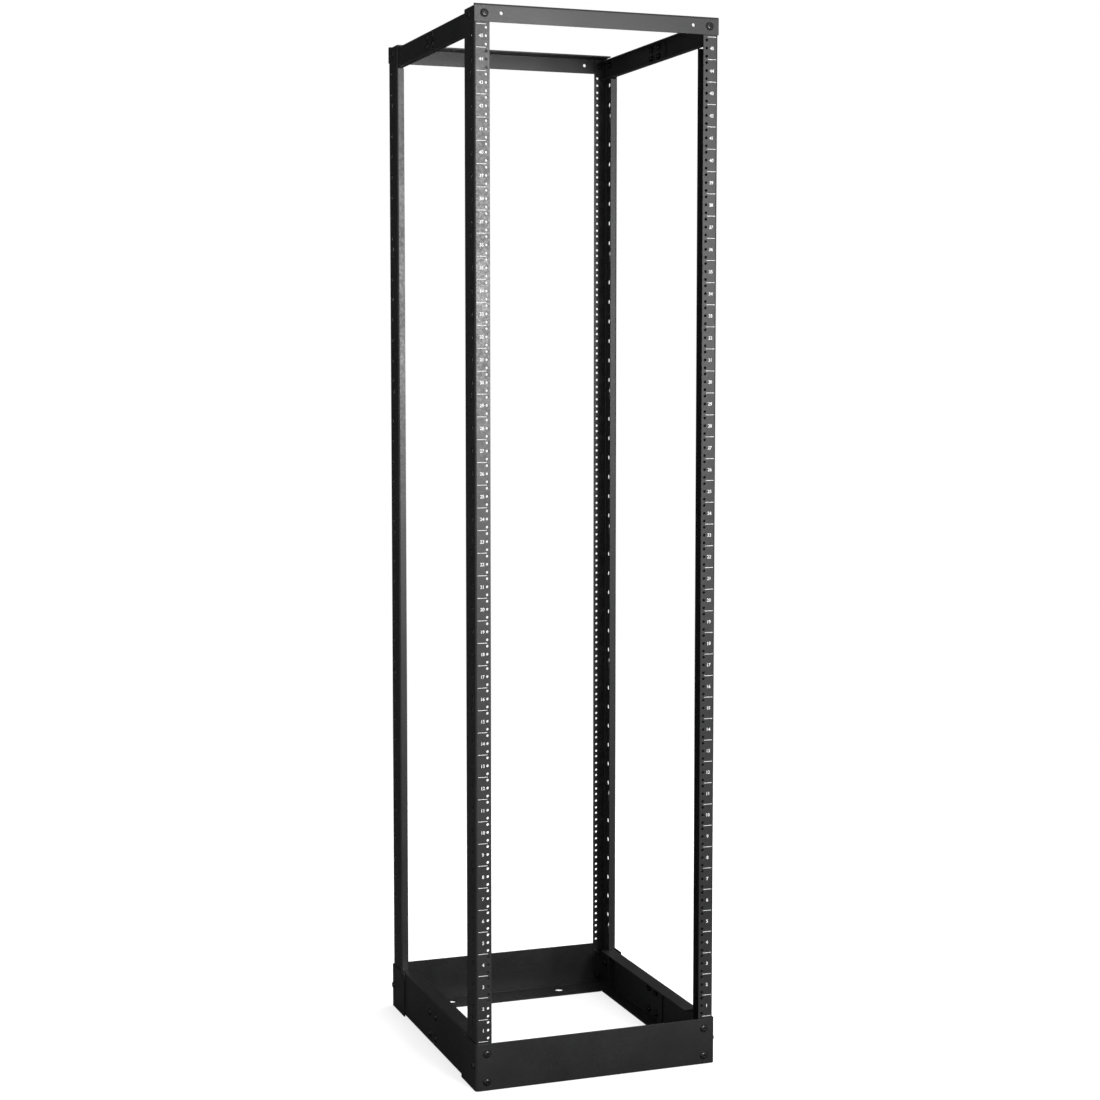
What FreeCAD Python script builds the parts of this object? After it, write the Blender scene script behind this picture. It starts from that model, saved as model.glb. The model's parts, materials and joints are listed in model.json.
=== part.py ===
import FreeCAD, Part
import math
import os
from FreeCAD import Vector

# Four post open frame rack, 45 rack units. Millimetres, +Z up, +X to the right, front towards -Y.
# The origin is on the floor, under the middle of the rack.

# Rack standard
rack_unit = 44.45
unit_count = 45
unit_holes = (6.35, 22.225, 38.1)      # hole heights inside each rack unit
hole_row_spacing = 465.1               # between the left and the right hole rows
bay_width = 450.85                     # clear width between the mounting flanges
mounting_hole = 5.5

# Overall sizes
frame_width = 514.35                   # over the outer faces of the posts
rack_depth = 609.6                     # over the skirts and top angles
rack_height = 2139.0
first_unit_height = 99.75              # bottom of rack unit 1 above the floor

# Posts: channels that open towards the bay
post_steel = 2.5
post_bend = 4.0                        # outside bend radius
post_depth = 63.5
return_flange = 16.0
mounting_flange = (frame_width - bay_width) / 2

# Post web: a round hole in each rack unit, and a keyhole at every seventh unit line
web_hole = 11.5
web_hole_setback = 19.05               # from the face of the mounting flange
keyhole_first = 1
keyhole_step = 7
keyhole_setback = 25.4
keyhole_sink = 2.0                     # centre of the round part below the unit line
keyhole_round = 13.0
keyhole_slot = 6.5
keyhole_drop = 15.0                    # from the round part to the end of the slot

# Base: front and rear skirts that wrap the corners, with rails between them
base_steel = 3.0
base_bend = 6.0
base_height = 95.25
skirt_return = 95.0                    # length of each wrapped corner
skirt_foot = 70.0                      # depth of the bottom flange
foot_relief = 2.0                      # gap between the bottom flange and the rails
rail_flange = 35.0
anchor_hole = 20.0
anchor_spacing = 260.0
anchor_setback = 32.5                  # from the outer face of the skirt

# Top: angles across the front and rear, channels along the sides
top_steel = 3.0
top_bend = 4.0
top_face = 35.0
top_flange = 45.0
top_relief = 8.0                       # top flange stops short of each end
top_gap = 1.0                          # between the posts and the top flange
top_rail_drop = 4.0                    # from the posts' tops down to the side channels
top_rail_height = 42.0
top_rail_flange = 16.0
top_rail_steel = 2.5
tie_hole = 7.2
tie_hole_inset = 55.0                  # from the outer face of the post

# Mid joints of the side rails
joint_length = 100.0
joint_steel = 3.0

half_width = frame_width / 2
half_depth = rack_depth / 2
post_front = half_depth - base_steel   # distance of the post faces from the middle
post_top = rack_height - top_steel - top_gap
post_height = post_top - base_steel
rail_end = post_front - post_depth     # side rails run between the posts


def offset_line(points, distance):
    """Offset an open polyline to its left side."""
    shifted = []
    for start, end in zip(points[:-1], points[1:]):
        along = (end - start).normalize()
        side = Vector(-along.y, along.x, 0) * distance
        shifted.append((start + side, end + side))
    result = [shifted[0][0]]
    for (a, b), (c, d) in zip(shifted[:-1], shifted[1:]):
        u = b - a
        v = d - c
        t = ((c - a).x * v.y - (c - a).y * v.x) / (u.x * v.y - u.y * v.x)
        result.append(a + u * t)
    result.append(shifted[-1][1])
    return result


def rounded_edges(points, radius):
    """Edges of an open polyline whose inner corners are rounded."""
    edges = []
    start = points[0]
    for before, corner, after in zip(points[:-2], points[1:-1], points[2:]):
        to_before = (before - corner).normalize()
        to_after = (after - corner).normalize()
        half_angle = to_before.getAngle(to_after) / 2
        setback = radius / math.tan(half_angle)
        arc_start = corner + to_before * setback
        arc_end = corner + to_after * setback
        bisector = (to_before + to_after).normalize()
        arc_middle = corner + bisector * (radius / math.sin(half_angle) - radius)
        edges.append(Part.LineSegment(start, arc_start).toShape())
        edges.append(Part.Arc(arc_start, arc_middle, arc_end).toShape())
        start = arc_end
    edges.append(Part.LineSegment(start, points[-1]).toShape())
    return edges


def bent_sheet(outline, steel, bend, length):
    """Sheet folded along an outer outline in XY, steel to its left, extruded up."""
    outer = [Vector(x, y, 0) for x, y in outline]
    inner = offset_line(outer, steel)
    edges = rounded_edges(outer, bend)
    edges += rounded_edges(inner, bend - steel)
    edges.append(Part.LineSegment(outer[0], inner[0]).toShape())
    edges.append(Part.LineSegment(outer[-1], inner[-1]).toShape())
    wire = Part.Wire(Part.__sortEdges__(edges))
    return Part.Face(wire).extrude(Vector(0, 0, length))


def drill(radius, length, centre, direction):
    """Cylinder centred on a point, for cutting."""
    start = centre - direction * (length / 2)
    return Part.makeCylinder(radius, length, start, direction)


def box(x0, y0, z0, x1, y1, z1):
    return Part.makeBox(x1 - x0, y1 - y0, z1 - z0, Vector(x0, y0, z0))


def mirror_x(shape):
    return shape.mirror(Vector(0, 0, 0), Vector(1, 0, 0))


def mirror_y(shape):
    return shape.mirror(Vector(0, 0, 0), Vector(0, 1, 0))


def mounting_holes():
    """The holes of the front left post's mounting flange."""
    tools = []
    for unit in range(unit_count):
        for rise in unit_holes:
            height = first_unit_height + unit * rack_unit + rise
            centre = Vector(-hole_row_spacing / 2, -post_front, height)
            tools.append(drill(mounting_hole / 2, 4 * post_steel, centre, Vector(0, 1, 0)))
    return tools


def web_openings():
    """Round holes and keyholes of the front left post's web."""
    tools = []
    hole_row = -post_front + web_hole_setback
    keyhole_row = -post_front + keyhole_setback
    side = Vector(1, 0, 0)
    keyhole_lines = range(keyhole_first, unit_count + 1, keyhole_step)
    for unit in range(unit_count):
        if unit + 1 in keyhole_lines:
            continue
        height = first_unit_height + (unit + 0.5) * rack_unit
        tools.append(drill(web_hole / 2, 4 * post_steel, Vector(-half_width, hole_row, height), side))
    for line in keyhole_lines:
        height = first_unit_height + line * rack_unit - keyhole_sink
        head = drill(keyhole_round / 2, 4 * post_steel, Vector(-half_width, keyhole_row, height), side)
        low = height - keyhole_drop
        tail = drill(keyhole_slot / 2, 4 * post_steel, Vector(-half_width, keyhole_row, low), side)
        neck = box(-half_width - 2 * post_steel, keyhole_row - keyhole_slot / 2, low,
                   -half_width + 2 * post_steel, keyhole_row + keyhole_slot / 2, height)
        tools.append(head.fuse([tail, neck]))
    return tools


def make_post():
    """Front left post."""
    outline = [
        (-half_width + mounting_flange, -post_front),
        (-half_width, -post_front),
        (-half_width, -rail_end),
        (-half_width + return_flange, -rail_end),
    ]
    outline.reverse()
    post = bent_sheet(outline, post_steel, post_bend, post_height)
    post.translate(Vector(0, 0, base_steel))
    notch = box(-half_width + post_steel, -rail_end - 2 * post_steel, post_top - top_rail_drop - top_rail_height - 3,
                -half_width + return_flange + 1, -rail_end + 1, post_top + 1)
    post = post.cut([notch] + mounting_holes())
    return post.cut(web_openings())


def make_skirt():
    """Front skirt: face with wrapped corners, and a bottom flange with anchor holes."""
    outline = [
        (-half_width - base_steel, -half_depth + skirt_return),
        (-half_width - base_steel, -half_depth),
        (half_width + base_steel, -half_depth),
        (half_width + base_steel, -half_depth + skirt_return),
    ]
    face = bent_sheet(outline, base_steel, base_bend, base_height)
    foot = box(-half_width, -half_depth + base_steel, 0, half_width, -half_depth + skirt_foot, base_steel)
    skirt = face.fuse(foot)
    cutters = []
    corner_width = rail_flange + foot_relief
    for side in (-1, 1):
        corner_middle = side * (half_width - corner_width / 2)
        corner = box(corner_middle - corner_width / 2, -rail_end - foot_relief, -base_steel,
                     corner_middle + corner_width / 2, -half_depth + skirt_foot + 1, 2 * base_steel)
        skirt = skirt.cut(corner)
        centre = Vector(side * anchor_spacing / 2, -half_depth + anchor_setback, 0)
        cutters.append(drill(anchor_hole / 2, 4 * base_steel, centre, Vector(0, 0, 1)))
    return skirt.cut(cutters).removeSplitter()


def make_side_channel(height, flange, steel, bend, outer_x, start, end, bottom):
    """Left side channel along Y, open towards the bay."""
    outline = [
        (flange, 0),
        (0, 0),
        (0, height),
        (flange, height),
    ]
    outline.reverse()
    channel = bent_sheet(outline, steel, bend, end - start)
    channel.rotate(Vector(0, 0, 0), Vector(1, 0, 0), 90)
    channel.translate(Vector(outer_x, end, bottom))
    return channel


def make_top_angle():
    """Front top angle: face in front of the posts, flange over them."""
    outline = [
        (-half_depth + top_flange, rack_height),
        (-half_depth, rack_height),
        (-half_depth, rack_height - top_face),
    ]
    angle = bent_sheet(outline, top_steel, top_bend, frame_width)
    angle.rotate(Vector(0, 0, 0), Vector(1, 1, 1), 120)
    angle.translate(Vector(-half_width, 0, 0))
    cutters = []
    for side in (-1, 1):
        inner = side * (half_width - top_relief)
        outer = side * (half_width + 1)
        cutters.append(box(min(inner, outer), -half_depth + top_bend + 1, rack_height - 2 * top_steel,
                           max(inner, outer), -half_depth + top_flange + 1, rack_height + 1))
        centre = Vector(side * (half_width - tie_hole_inset), -half_depth, rack_height - top_face / 2)
        cutters.append(drill(tie_hole / 2, 4 * top_steel, centre, Vector(0, 1, 0)))
    return angle.cut(cutters)


parts = {}

front_left = make_post()
parts["post_front_left"] = front_left
parts["post_front_right"] = mirror_x(front_left)
parts["post_rear_left"] = mirror_y(front_left)
parts["post_rear_right"] = mirror_x(mirror_y(front_left))

skirt = make_skirt()
parts["base_skirt_front"] = skirt
parts["base_skirt_rear"] = mirror_y(skirt)

angle = make_top_angle()
parts["top_angle_front"] = angle
parts["top_angle_rear"] = mirror_y(angle)

base_half = make_side_channel(base_height, rail_flange, base_steel, base_bend, -half_width, -rail_end, 0, 0)
top_bottom = post_top - top_rail_drop - top_rail_height
top_half = make_side_channel(top_rail_height, top_rail_flange, top_rail_steel, top_bend,
                             -half_width + post_steel, -post_front + post_bend, 0, top_bottom)
base_joint = box(-half_width + base_steel, -joint_length / 2, base_bend,
                 -half_width + base_steel + joint_steel, joint_length / 2, base_height - base_bend)
top_joint = box(-half_width + post_steel + top_rail_steel, -joint_length / 2, top_bottom + top_bend,
                -half_width + post_steel + top_rail_steel + joint_steel, joint_length / 2,
                top_bottom + top_rail_height - top_bend)

for level, half, joint in (("base", base_half, base_joint), ("top", top_half, top_joint)):
    parts[level + "_rail_front_left"] = half
    parts[level + "_rail_front_right"] = mirror_x(half)
    parts[level + "_rail_rear_left"] = mirror_y(half)
    parts[level + "_rail_rear_right"] = mirror_x(mirror_y(half))
    parts[level + "_joint_left"] = joint
    parts[level + "_joint_right"] = mirror_x(joint)

os.makedirs("parts", exist_ok=True)
for name, shape in parts.items():
    solid = shape.Solids[0]
    if len(shape.Solids) != 1 or not solid.isValid():
        raise ValueError(name + " is not one valid solid")
    solid.exportStep("parts/" + name + ".step")
    print(name, round(solid.Volume / 1000, 1), "cm3")
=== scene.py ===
import json
import math

import bmesh
import bpy
from mathutils import Matrix, Vector


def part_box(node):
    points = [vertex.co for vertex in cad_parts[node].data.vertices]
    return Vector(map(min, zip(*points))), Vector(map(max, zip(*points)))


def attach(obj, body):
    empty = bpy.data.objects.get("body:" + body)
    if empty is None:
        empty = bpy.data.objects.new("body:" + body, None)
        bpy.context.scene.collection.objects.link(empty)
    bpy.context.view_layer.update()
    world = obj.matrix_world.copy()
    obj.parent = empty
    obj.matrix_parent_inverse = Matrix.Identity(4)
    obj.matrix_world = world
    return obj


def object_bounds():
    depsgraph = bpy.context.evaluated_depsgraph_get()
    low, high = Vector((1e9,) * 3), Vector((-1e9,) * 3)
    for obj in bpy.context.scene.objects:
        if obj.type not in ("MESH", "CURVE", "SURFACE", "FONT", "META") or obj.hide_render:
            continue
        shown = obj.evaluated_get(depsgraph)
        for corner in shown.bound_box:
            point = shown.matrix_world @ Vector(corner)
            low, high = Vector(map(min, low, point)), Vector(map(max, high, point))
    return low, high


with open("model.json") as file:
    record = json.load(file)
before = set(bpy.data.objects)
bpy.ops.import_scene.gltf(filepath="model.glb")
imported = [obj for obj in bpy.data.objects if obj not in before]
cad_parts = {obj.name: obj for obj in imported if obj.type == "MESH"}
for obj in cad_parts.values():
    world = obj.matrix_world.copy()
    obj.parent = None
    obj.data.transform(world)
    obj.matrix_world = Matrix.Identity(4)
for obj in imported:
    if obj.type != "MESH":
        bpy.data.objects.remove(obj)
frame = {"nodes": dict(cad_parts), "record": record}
cadLow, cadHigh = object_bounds()
print("frame loaded:", len(frame["nodes"]), "nodes")


# helpers for shader trees

def newMaterial(name):
    material = bpy.data.materials.new(name)
    material.use_nodes = True
    tree = material.node_tree
    return material, tree, tree.nodes["Principled BSDF"]


def addNode(tree, kind, settings=None, inputs=None):
    node = tree.nodes.new(kind)
    for key, value in (settings or {}).items():
        setattr(node, key, value)
    for key, value in (inputs or {}).items():
        node.inputs[key].default_value = value
    return node


def addNoise(tree, coords, scale, detail=2.0, roughness=0.5):
    noise = addNode(tree, "ShaderNodeTexNoise", {}, {
        "Scale": scale, "Detail": detail, "Roughness": roughness})
    tree.links.new(coords, noise.inputs["Vector"])
    return noise.outputs["Fac"]


def addRange(tree, source, low, high, fromLow=0.3, fromHigh=0.7):
    # most of a noise lies between 0.3 and 0.7
    ranger = addNode(tree, "ShaderNodeMapRange", {}, {
        "From Min": fromLow, "From Max": fromHigh, "To Min": low, "To Max": high})
    tree.links.new(source, ranger.inputs["Value"])
    return ranger.outputs["Result"]


def addColorMix(tree, factor, first, second):
    mix = addNode(tree, "ShaderNodeMix", {"data_type": "RGBA"})
    tree.links.new(factor, mix.inputs["Factor"])
    for socket, value in ((mix.inputs[6], first), (mix.inputs[7], second)):
        if isinstance(value, bpy.types.NodeSocket):
            tree.links.new(value, socket)
        else:
            socket.default_value = (*value, 1.0)
    return mix.outputs[2]


def addBump(tree, height, distance, strength=1.0, normal=None):
    bump = addNode(tree, "ShaderNodeBump", {}, {"Distance": distance, "Strength": strength})
    tree.links.new(height, bump.inputs["Height"])
    if normal is not None:
        tree.links.new(normal, bump.inputs["Normal"])
    return bump.outputs["Normal"]


# powder coat of the whole frame

powderCoat = {
    "black": (0.0100, 0.0102, 0.0108),
    "worn": (0.0175, 0.0175, 0.018),
    "driftScale": 5.0,         # scales are per metre
    "speckle": 0.35,           # most of the worn colour in the fine grain
    "speckleRange": (0.45, 0.75),
    "dust": (0.020, 0.0196, 0.0190),
    "dustScale": 38.0,
    "dustMost": 0.45,          # on a level face
    "dustFrom": 0.6,           # upward part of the normal where dust begins to lie
    "dustPatches": (0.2, 1.0),
    # painted shade: darker colour laid into the hollows of the folded channels
    "paintedHollowShade": (0.0060, 0.0061, 0.0065),
    "deepReach": 0.10,         # how near other steel must be to make a hollow
    "deepRange": (0.34, 0.48),    # openness of a full hollow, and of none
    "deepDull": 0.78,
    "shine": (0.35, 0.43),
    "smearScale": 14.0,
    "pitDull": 0.05,           # how much duller the pits of the orange peel are
    "pitRange": (0.35, 0.65),
    "wavyScale": 7.0,          # the folded sheet is never quite flat
    "wavyDepth": 0.0009,
    "peelScale": 250.0,        # orange peel
    "peelDepth": 0.00017,
    "peelStrength": 0.6,
    "grainScale": 3200.0,
    "grainDepth": 0.00001,
    "grainStrength": 0.5,
    "edgeWidth": 0.0012,       # how far the coat rounds a cut edge
    "specular": 0.5,
}


def makePowderCoat():
    finish = powderCoat
    material, tree, shader = newMaterial("powderCoat")
    coords = addNode(tree, "ShaderNodeTexCoord").outputs["Object"]

    # slow drift of the coat, with a fine speckle over it
    drift = addNoise(tree, coords, finish["driftScale"], 3.0)
    grain = addNoise(tree, coords, finish["grainScale"], 1.0)
    body = addColorMix(tree, addRange(tree, drift, 0.0, 1.0), finish["black"], finish["worn"])
    speckle = addRange(tree, grain, 0.0, finish["speckle"], *finish["speckleRange"])
    speckled = addColorMix(tree, speckle, body, finish["worn"])

    # a breath of dust on faces that look up
    split = addNode(tree, "ShaderNodeSeparateXYZ")
    tree.links.new(addNode(tree, "ShaderNodeNewGeometry").outputs["Normal"], split.inputs["Vector"])
    upward = addRange(tree, split.outputs["Z"], 0.0, finish["dustMost"], finish["dustFrom"], 1.0)
    patches = addRange(tree, addNoise(tree, coords, finish["dustScale"], 4.0), *finish["dustPatches"])
    dusty = addNode(tree, "ShaderNodeMath", {"operation": "MULTIPLY"})
    tree.links.new(upward, dusty.inputs[0])
    tree.links.new(patches, dusty.inputs[1])
    dusted = addColorMix(tree, dusty.outputs["Value"], speckled, finish["dust"])

    # deep inside the folded channels the colour is darkened as painted shade from an ambient occlusion
    # mask, and the same mask makes the coat duller
    around = addNode(tree, "ShaderNodeAmbientOcclusion", {"samples": 6}, {"Distance": finish["deepReach"]})
    shadeAndDullMask = addRange(tree, around.outputs["AO"], 1.0, 0.0, *finish["deepRange"])
    tree.links.new(addColorMix(tree, shadeAndDullMask, dusted, finish["paintedHollowShade"]), shader.inputs["Base Color"])

    # satin shine that varies from place to place, duller in the pits of the orange peel
    smear = addNoise(tree, coords, finish["smearScale"], 5.0, 0.6)
    orangePeel = addNoise(tree, coords, finish["peelScale"], 1.5)
    shine = addNode(tree, "ShaderNodeMath", {"operation": "ADD"})
    tree.links.new(addRange(tree, smear, *finish["shine"]), shine.inputs[0])
    pits = addRange(tree, orangePeel, finish["pitDull"], -finish["pitDull"], *finish["pitRange"])
    tree.links.new(pits, shine.inputs[1])
    dull = addNode(tree, "ShaderNodeMix", {"data_type": "FLOAT"})
    tree.links.new(shadeAndDullMask, dull.inputs[0])
    tree.links.new(shine.outputs["Value"], dull.inputs[2])
    dull.inputs[3].default_value = finish["deepDull"]
    tree.links.new(dull.outputs[0], shader.inputs["Roughness"])

    # cut edges are softened by the coat, waves, orange peel and grain lie over the flats
    bevel = addNode(tree, "ShaderNodeBevel", {"samples": 4}, {"Radius": finish["edgeWidth"]})
    waves = addNoise(tree, coords, finish["wavyScale"], 0.0)
    wavy = addBump(tree, waves, finish["wavyDepth"], 1.0, bevel.outputs["Normal"])
    peeled = addBump(tree, orangePeel, finish["peelDepth"], finish["peelStrength"], wavy)
    grainy = addBump(tree, grain, finish["grainDepth"], finish["grainStrength"], peeled)
    tree.links.new(grainy, shader.inputs["Normal"])
    shader.inputs["Specular IOR Level"].default_value = finish["specular"]
    return material


coat = makePowderCoat()
for node in frame["nodes"].values():
    node.data.materials.clear()
    node.data.materials.append(coat)
print("powder coat on the frame")


# places on the frame

mounts = {mount["name"]: mount for mount in frame["record"]["mounts"]}
firstUnit = mounts["front_unit_1"]
lastUnit = mounts["front_unit_45"]
unitCount = 45
rackUnit = (lastUnit["pos_m"][2] - firstUnit["pos_m"][2]) / (unitCount - 1)
unitStart = firstUnit["pos_m"][2] - rackUnit / 2

postLow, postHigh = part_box("post_front_left")
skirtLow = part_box("base_skirt_front")[0]
angleLow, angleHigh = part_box("top_angle_front")
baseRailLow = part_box("base_rail_front_left")[0]
topRailLow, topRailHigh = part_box("top_rail_front_left")
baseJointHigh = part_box("base_joint_left")[1]
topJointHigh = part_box("top_joint_left")[1]
postSteel = topRailLow.x - postLow.x          # the top rails lie inside the posts' webs
skirtSteel = postLow.y - skirtLow.y           # the skirts lie round the posts
halfWidth = -postLow.x
postFace = -postLow.y
webMiddle = (postLow.y + postHigh.y) / 2


# small turned and hexagonal pieces

def hexRadius(acrossFlats, angle):
    turn = (angle + math.pi / 6) % (math.pi / 3) - math.pi / 6
    return acrossFlats / 2 / math.cos(turn)


def facing(point, direction):
    turn = Vector((0, 0, 1)).rotation_difference(Vector(direction))
    return Matrix.Translation(Vector(point)) @ turn.to_matrix().to_4x4()


def turnedPiece(mesh, rings, place, steps=36):
    # rings run from the back to the front: (radius or across flats, height, round or hex)
    loops = []
    for size, height, shape in rings:
        loop = []
        for step in range(steps):
            angle = 2 * math.pi * step / steps
            radius = hexRadius(size, angle) if shape == "hex" else size
            point = Vector((radius * math.cos(angle), radius * math.sin(angle), height))
            loop.append(mesh.verts.new(place @ point))
        loops.append(loop)
    for low, high in zip(loops[:-1], loops[1:]):
        for step in range(steps):
            after = (step + 1) % steps
            mesh.faces.new((low[step], low[after], high[after], high[step]))
    mesh.faces.new(list(reversed(loops[0])))
    mesh.faces.new(loops[-1])


def finishPiece(name, mesh, material, smoothAngle=35):
    bmesh.ops.recalc_face_normals(mesh, faces=mesh.faces)
    data = bpy.data.meshes.new(name)
    mesh.to_mesh(data)
    mesh.free()
    piece = bpy.data.objects.new(name, data)
    bpy.context.scene.collection.objects.link(piece)
    data.materials.append(material)
    data.shade_smooth()
    data.set_sharp_from_angle(angle=math.radians(smoothAngle))
    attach(piece, "root")
    return piece


boltFinish = {
    "steel": (0.009, 0.009, 0.010),
    "rubbed": (0.032, 0.031, 0.030),
    "blotchScale": 420.0,
    "rubbedRange": (0.4, 0.8),
    "shine": (0.18, 0.30),
    "scratchScale": 2600.0,
    "scratchDepth": 0.00001,
    "scratchStrength": 0.5,
    "metallic": 0.2,
}


def makeBoltFinish():
    finish = boltFinish
    material, tree, shader = newMaterial("blackenedSteel")
    coords = addNode(tree, "ShaderNodeTexCoord").outputs["Object"]
    blotch = addNoise(tree, coords, finish["blotchScale"], 4.0, 0.6)
    rubbed = addRange(tree, blotch, 0.0, 1.0, *finish["rubbedRange"])
    color = addColorMix(tree, rubbed, finish["steel"], finish["rubbed"])
    tree.links.new(color, shader.inputs["Base Color"])
    tree.links.new(addRange(tree, blotch, *finish["shine"]), shader.inputs["Roughness"])
    scratch = addNoise(tree, coords, finish["scratchScale"], 2.0)
    scratched = addBump(tree, scratch, finish["scratchDepth"], finish["scratchStrength"])
    tree.links.new(scratched, shader.inputs["Normal"])
    shader.inputs["Metallic"].default_value = finish["metallic"]
    return material


boltSteel = makeBoltFinish()

buttonScrew = {
    "headRadius": 0.0076,
    "headHeight": 0.0040,
    "domeSteps": 6,
    "domeEnd": 60.0,           # degrees, where the dome meets the flat round the socket
    "socket": 0.0050,          # across flats
    "socketLip": 0.0002,
    "socketDepth": 0.0026,
    "flangeRadius": 0.0086,
    "flangeHeight": 0.0010,
    "flangeChamfer": 0.0004,
}

hexNut = {
    "acrossFlats": 0.013,
    "height": 0.0060,
    "chamfer": 0.0009,
    "faceInset": 0.0001,       # the round face inside the flats
    "boreLip": 0.0007,         # from the nut's face down to the bolt
    "boltRadius": 0.0039,
    "boltReach": 0.0028,       # bolt end beyond the nut
    "tipTaper": 0.0006,
    "rimDepth": 0.0005,        # depth of the bore's lip and of the bolt's taper
}


def addButtonScrew(mesh, point, direction):
    screw = buttonScrew
    rings = [
        (screw["flangeRadius"], 0.0, "round"),
        (screw["flangeRadius"], screw["flangeHeight"] - screw["flangeChamfer"], "round"),
        (screw["flangeRadius"] - screw["flangeChamfer"], screw["flangeHeight"], "round"),
    ]
    domeEnd = math.radians(screw["domeEnd"])
    rise = screw["headHeight"] - screw["flangeHeight"]
    for step in range(screw["domeSteps"] + 1):
        angle = domeEnd * step / screw["domeSteps"]
        height = screw["flangeHeight"] + rise * math.sin(angle) / math.sin(domeEnd)
        rings.append((screw["headRadius"] * math.cos(angle), height, "round"))
    rings.append((screw["socket"] + 2 * screw["socketLip"], screw["headHeight"], "hex"))
    rings.append((screw["socket"], screw["headHeight"] - screw["socketLip"], "hex"))
    rings.append((screw["socket"], screw["headHeight"] - screw["socketDepth"], "hex"))
    turnedPiece(mesh, rings, facing(point, direction))


def addNut(mesh, point, direction):
    nut = hexNut
    flats = nut["acrossFlats"]
    boltEnd = nut["height"] + nut["boltReach"]
    rings = [
        (flats, 0.0, "hex"),
        (flats, nut["height"] - nut["chamfer"], "hex"),
        (flats / 2 - nut["faceInset"], nut["height"], "round"),
        (nut["boltRadius"] + nut["boreLip"], nut["height"], "round"),
        (nut["boltRadius"], nut["height"] - nut["rimDepth"], "round"),
        (nut["boltRadius"], boltEnd - nut["rimDepth"], "round"),
        (nut["boltRadius"] - nut["tipTaper"], boltEnd, "round"),
    ]
    turnedPiece(mesh, rings, facing(point, direction))


def boltSet(name, places):
    # each place: head point, head direction, steel between head and nut
    heads = bmesh.new()
    nuts = bmesh.new()
    for point, direction, grip in places:
        outward = Vector(direction)
        addButtonScrew(heads, Vector(point), outward)
        addNut(nuts, Vector(point) - outward * grip, -outward)
    finishPiece(name + "_heads", heads, boltSteel)
    finishPiece(name + "_nuts", nuts, boltSteel)


def everySide(point, direction, grip):
    # repeat one place for left and right, front and rear
    places = []
    for sideX in (1, -1):
        for sideY in (1, -1):
            flip = Vector((sideX, sideY, 1))
            places.append((Vector(point) * flip, Vector(direction) * flip, grip))
    return places


fasteners = {
    "skirtInset": 0.021,       # from the post's outer face
    "skirtHeights": (0.018, 0.075),
    "angleInset": 0.020,
    "angleHeight": 0.0185,     # below the top of the angle
    "cornerSetback": 0.015,    # side screw of the skirt, from its front face
    "cornerHeight": 0.050,
    "webDrop": 0.015,          # below the post's top
    "jointSetback": 0.020,     # from the middle of the rack
    "baseJointHeights": (0.021, 0.067),
    "topJointSpread": 0.019,
}


def makeFasteners():
    spots = fasteners
    skirtPlaces = []
    for height in spots["skirtHeights"]:
        head = (-(halfWidth - spots["skirtInset"]), skirtLow.y, height)
        skirtPlaces += everySide(head, (0, -1, 0), skirtSteel + postSteel)
    boltSet("skirt_screws", skirtPlaces)

    head = (-(halfWidth - spots["angleInset"]), angleLow.y, angleHigh.z - spots["angleHeight"])
    boltSet("top_angle_screws", everySide(head, (0, -1, 0), skirtSteel + postSteel))

    head = (skirtLow.x, skirtLow.y + spots["cornerSetback"], spots["cornerHeight"])
    boltSet("skirt_corner_screws", everySide(head, (-1, 0, 0), skirtSteel + postSteel))

    head = (postLow.x, webMiddle, postHigh.z - spots["webDrop"])
    boltSet("post_top_screws", everySide(head, (-1, 0, 0), postSteel + postSteel))

    topMiddle = (topRailLow.z + topRailHigh.z) / 2
    topSpread = spots["topJointSpread"] / 2
    joints = (
        ("base_joint_bolts", baseRailLow.x, baseJointHigh.x, spots["baseJointHeights"]),
        ("top_joint_bolts", topRailLow.x, topJointHigh.x, (topMiddle - topSpread, topMiddle + topSpread)),
    )
    for name, outside, inside, heights in joints:
        jointPlaces = []
        for height in heights:
            head = (outside, -spots["jointSetback"], height)
            jointPlaces += everySide(head, (-1, 0, 0), inside - outside)
        boltSet(name, jointPlaces)


makeFasteners()
print("screws, bolts and nuts in place")


# printed unit lines and numbers

ink = {
    "white": (0.86, 0.86, 0.85),
    "thin": (0.62, 0.62, 0.61),
    "patchScale": 900.0,
    "thinRange": (0.55, 0.80),
    "shine": (0.45, 0.60),
    "relief": 0.00002,
    "reliefStrength": 0.4,
    "thickness": 0.00012,
}

marks = {
    "leftLine": (0.0045, 0.0240),       # from the post's outer edge
    "rightLine": (0.0042, 0.0224),
    "lineHeight": 0.0011,
    "digitHeight": 0.0066,
    "digitStep": 0.0044,
    "boldness": 0.022,         # of the digit's size
}


def makeInk():
    material, tree, shader = newMaterial("printedInk")
    coords = addNode(tree, "ShaderNodeTexCoord").outputs["Object"]
    patch = addNoise(tree, coords, ink["patchScale"], 3.0)
    thin = addRange(tree, patch, 0.0, 1.0, *ink["thinRange"])
    tree.links.new(addColorMix(tree, thin, ink["white"], ink["thin"]), shader.inputs["Base Color"])
    tree.links.new(addRange(tree, patch, *ink["shine"]), shader.inputs["Roughness"])
    raised = addBump(tree, patch, ink["relief"], ink["reliefStrength"])
    tree.links.new(raised, shader.inputs["Normal"])
    return material


inkWhite = makeInk()


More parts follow.
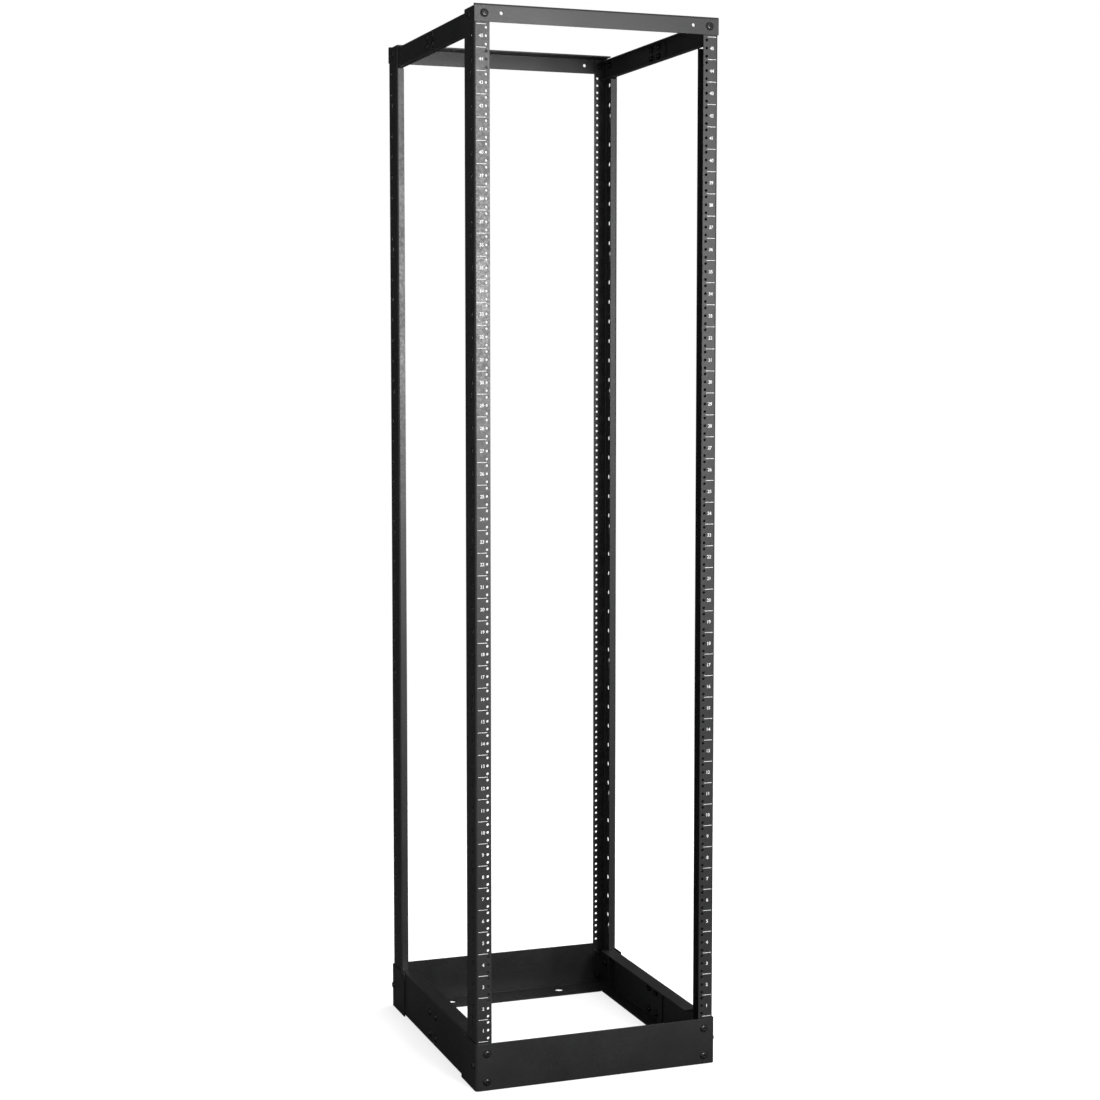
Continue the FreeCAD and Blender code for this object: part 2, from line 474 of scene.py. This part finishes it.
def digitOutlines():
    # meshes of the ten digits, one high and one thick
    shapes = {}
    for digit in "0123456789":
        curve = bpy.data.curves.new("digit" + digit, "FONT")
        curve.body = digit
        curve.resolution_u = 3
        curve.extrude = 0.05       # any thickness, it is scaled to one below
        curve.offset = marks["boldness"]
        writer = bpy.data.objects.new("digit" + digit, curve)
        shapes[digit] = bpy.data.meshes.new_from_object(writer)
        bpy.data.objects.remove(writer)
        bpy.data.curves.remove(curve)
    tall = max(vertex.co.y for vertex in shapes["0"].vertices)
    for shape in shapes.values():
        left = min(vertex.co.x for vertex in shape.vertices)
        right = max(vertex.co.x for vertex in shape.vertices)
        for vertex in shape.vertices:
            lift = 1.0 if vertex.co.z > 0 else 0.0
            vertex.co = Vector(((vertex.co.x - (left + right) / 2) / tall, vertex.co.y / tall, lift))
    return shapes


def addBlock(mesh, place, low, high):
    corners = []
    for x in (low[0], high[0]):
        for y in (low[1], high[1]):
            for z in (low[2], high[2]):
                corners.append(mesh.verts.new(place @ Vector((x, y, z))))
    for face in ((0, 1, 3, 2), (4, 6, 7, 5), (0, 4, 5, 1), (2, 3, 7, 6), (0, 2, 6, 4), (1, 5, 7, 3)):
        mesh.faces.new([corners[index] for index in face])


def addDigit(mesh, shape, place):
    made = [mesh.verts.new(place @ vertex.co) for vertex in shape.vertices]
    for polygon in shape.polygons:
        mesh.faces.new([made[index] for index in polygon.vertices])


def printPost(name, shapes, place, line, outward):
    # place looks at the post's face: x to the viewer's right, y up, z out of the face
    lines = bmesh.new()
    start, end = sorted((outward * (halfWidth - line[0]), outward * (halfWidth - line[1])))
    for unit in range(unitCount + 1):
        height = unitStart + unit * rackUnit
        addBlock(lines, place, (start, height - marks["lineHeight"] / 2, 0),
                 (end, height + marks["lineHeight"] / 2, ink["thickness"]))
    finishPiece(name + "_unit_lines", lines, inkWhite, smoothAngle=20)

    numbers = bmesh.new()
    middle = outward * (halfWidth - (line[0] + line[1]) / 2)
    size = Matrix.Diagonal((marks["digitHeight"], marks["digitHeight"], ink["thickness"], 1))
    for unit in range(1, unitCount + 1):
        height = unitStart + (unit - 0.5) * rackUnit - marks["digitHeight"] / 2
        for index, digit in enumerate(str(unit)):
            across = middle + marks["digitStep"] * (index + 0.5 - len(str(unit)) / 2)
            addDigit(numbers, shapes[digit], place @ Matrix.Translation((across, height, 0)) @ size)
    finishPiece(name + "_unit_numbers", numbers, inkWhite, smoothAngle=20)


def printMarks():
    shapes = digitOutlines()
    views = {
        "front": Matrix(((1, 0, 0, 0), (0, 0, -1, -postFace), (0, 1, 0, 0), (0, 0, 0, 1))),
        "rear": Matrix(((-1, 0, 0, 0), (0, 0, 1, postFace), (0, 1, 0, 0), (0, 0, 0, 1))),
    }
    for view, place in views.items():
        printPost(view + "_left", shapes, place, marks["leftLine"], -1)
        printPost(view + "_right", shapes, place, marks["rightLine"], 1)
    for shape in shapes.values():
        bpy.data.meshes.remove(shape)


printMarks()
print("unit lines and numbers printed")


# floor, curtain, lights and world

stage = {
    "floorRadius": 40.0,
    "floorColor": (0.66, 0.66, 0.66),
    "floorRough": 0.8,
    "floorShine": 0.1,
    "floorGlow": 0.70,
    "fadeStart": 1.6,          # from the middle, where the floor begins to run out into white
    "fadeEnd": 4.0,
    "curtainRadius": 2.6,
    "curtainHeight": 5.0,
    "curtainFrom": -30.0,      # degrees, anticlockwise from +X
    "curtainTo": 215.0,
    "curtainSteps": 36,
    "curtainLift": 0.001,      # its lower sheet lies on the floor round the rack
    "curtainSheet": ((2.2, -2.9), (2.2, 2.6), (-2.6, 2.6), (-2.6, -2.9)),
    "curtainDark": (0.02, 0.02, 0.02),
    "curtainGrey": (0.24, 0.24, 0.24),    # in front of the rack
    "curtainFade": 0.5,
}


def backgroundRays(tree):
    # 1 for camera, glossy and transmission rays
    path = addNode(tree, "ShaderNodeLightPath")
    total = path.outputs["Is Camera Ray"]
    for name in ("Is Glossy Ray", "Is Transmission Ray"):
        adder = addNode(tree, "ShaderNodeMath", {"operation": "ADD", "use_clamp": True})
        tree.links.new(total, adder.inputs[0])
        tree.links.new(path.outputs[name], adder.inputs[1])
        total = adder.outputs["Value"]
    return total


def makeFloor():
    mesh = bmesh.new()
    bmesh.ops.create_circle(mesh, cap_ends=True, segments=96, radius=stage["floorRadius"])
    data = bpy.data.meshes.new("floor")
    mesh.to_mesh(data)
    mesh.free()
    floor = bpy.data.objects.new("floor", data)
    floor.location.z = cadLow.z
    bpy.context.scene.collection.objects.link(floor)

    material, tree, shader = newMaterial("paleFloor")
    shader.inputs["Base Color"].default_value = (*stage["floorColor"], 1)
    shader.inputs["Roughness"].default_value = stage["floorRough"]
    shader.inputs["Specular IOR Level"].default_value = stage["floorShine"]
    shader.inputs["Emission Color"].default_value = (1, 1, 1, 1)
    seen = backgroundRays(tree)
    lift = addNode(tree, "ShaderNodeMath", {"operation": "MULTIPLY"})
    tree.links.new(seen, lift.inputs[0])
    lift.inputs[1].default_value = stage["floorGlow"]
    tree.links.new(lift.outputs["Value"], shader.inputs["Emission Strength"])

    # away from the rack the floor runs out into the white of the backdrop
    coords = addNode(tree, "ShaderNodeTexCoord").outputs["Object"]
    length = addNode(tree, "ShaderNodeVectorMath", {"operation": "LENGTH"})
    tree.links.new(coords, length.inputs[0])
    far = addRange(tree, length.outputs["Value"], 0.0, 1.0, stage["fadeStart"], stage["fadeEnd"])
    both = addNode(tree, "ShaderNodeMath", {"operation": "MULTIPLY"})
    tree.links.new(far, both.inputs[0])
    tree.links.new(seen, both.inputs[1])
    white = addNode(tree, "ShaderNodeEmission")
    mix = addNode(tree, "ShaderNodeMixShader")
    tree.links.new(both.outputs["Value"], mix.inputs[0])
    tree.links.new(shader.outputs["BSDF"], mix.inputs[1])
    tree.links.new(white.outputs["Emission"], mix.inputs[2])
    tree.links.new(mix.outputs["Shader"], tree.nodes["Material Output"].inputs["Surface"])
    data.materials.append(material)


def makeCurtain():
    # a dark studio tent, open to the front, that only shows as a reflection
    mesh = bmesh.new()
    columns = []
    sweep = stage["curtainTo"] - stage["curtainFrom"]
    for step in range(stage["curtainSteps"] + 1):
        angle = math.radians(stage["curtainFrom"] + sweep * step / stage["curtainSteps"])
        x = stage["curtainRadius"] * math.cos(angle)
        y = stage["curtainRadius"] * math.sin(angle)
        columns.append((mesh.verts.new((x, y, 0)), mesh.verts.new((x, y, stage["curtainHeight"]))))
    for first, second in zip(columns[:-1], columns[1:]):
        mesh.faces.new((first[0], second[0], second[1], first[1]))
    mesh.faces.new([top for bottom, top in columns])
    sheet = [mesh.verts.new((x, y, stage["curtainLift"])) for x, y in stage["curtainSheet"]]
    mesh.faces.new(sheet)
    data = bpy.data.meshes.new("curtain")
    mesh.to_mesh(data)
    mesh.free()
    curtain = bpy.data.objects.new("curtain", data)
    bpy.context.scene.collection.objects.link(curtain)
    material, tree, shader = newMaterial("darkCurtain")
    split = addNode(tree, "ShaderNodeSeparateXYZ")
    tree.links.new(addNode(tree, "ShaderNodeTexCoord").outputs["Object"], split.inputs["Vector"])
    forward = addRange(tree, split.outputs["Y"], 1.0, 0.0, cadLow.y - stage["curtainFade"], cadLow.y)
    shade = addColorMix(tree, forward, stage["curtainDark"], stage["curtainGrey"])
    tree.links.new(shade, shader.inputs["Base Color"])
    shader.inputs["Roughness"].default_value = 1.0
    data.materials.append(material)
    curtain.visible_camera = False
    curtain.visible_diffuse = False
    curtain.visible_shadow = False
    curtain.visible_transmission = False


makeFloor()
makeCurtain()

lamps = {                      # metres and watts
    "key": {"place": (0.54, -3.55, 1.80), "aim": (0.0, -0.3, 1.6), "size": 0.9, "power": 102.0},
    "fill": {"place": (-3.8, 0.3, 0.9), "aim": (0.0, 0.0, 1.1), "size": 1.6, "power": 28.0},
    "top": {"place": (0.4, 0.6, 4.8), "aim": (0.0, 0.0, 0.0), "size": 3.0, "power": 24.0},
    "back": {"place": (3.3, 1.7, 1.9), "aim": (0.0, 0.0, 1.1), "size": 1.8, "power": 115.0},
}


def makeLamps():
    for name, lamp in lamps.items():
        light = bpy.data.lights.new(name, "AREA")
        light.size = lamp["size"]
        light.energy = lamp["power"]
        holder = bpy.data.objects.new(name, light)
        holder.location = lamp["place"]
        look = Vector(lamp["aim"]) - Vector(lamp["place"])
        holder.rotation_euler = look.to_track_quat("-Z", "Y").to_euler()
        bpy.context.scene.collection.objects.link(holder)


sky = {
    "ambient": 0.30,           # what lights the rack
    "white": 1.0,              # what shows behind it
}


def makeWorld():
    world = bpy.data.worlds.new("studio")
    bpy.context.scene.world = world
    world.use_nodes = True
    tree = world.node_tree
    background = tree.nodes["Background"]
    background.inputs["Color"].default_value = (1, 1, 1, 1)
    strength = addRange(tree, backgroundRays(tree), sky["ambient"], sky["white"], 0.0, 1.0)
    tree.links.new(strength, background.inputs["Strength"])


makeLamps()
makeWorld()
bpy.context.scene.view_settings.view_transform = "Standard"
print("stage and lights set")


# camera

shot = {
    "place": (-1.517, -4.178, 1.446),
    "turn": 20.06,             # degrees to the right of +Y
    "tilt": -4.23,             # degrees above level
    "lens": 68.4,
    "sensor": 36,
    "shiftY": -0.028,
}


def makeCamera():
    data = bpy.data.cameras.new("camera")
    data.lens = shot["lens"]
    data.sensor_width = shot["sensor"]
    data.shift_y = shot["shiftY"]
    camera = bpy.data.objects.new("camera", data)
    camera.location = shot["place"]
    camera.rotation_euler = (math.radians(90 + shot["tilt"]), 0, math.radians(-shot["turn"]))
    bpy.context.scene.collection.objects.link(camera)
    bpy.context.scene.camera = camera


makeCamera()

print("scene done")
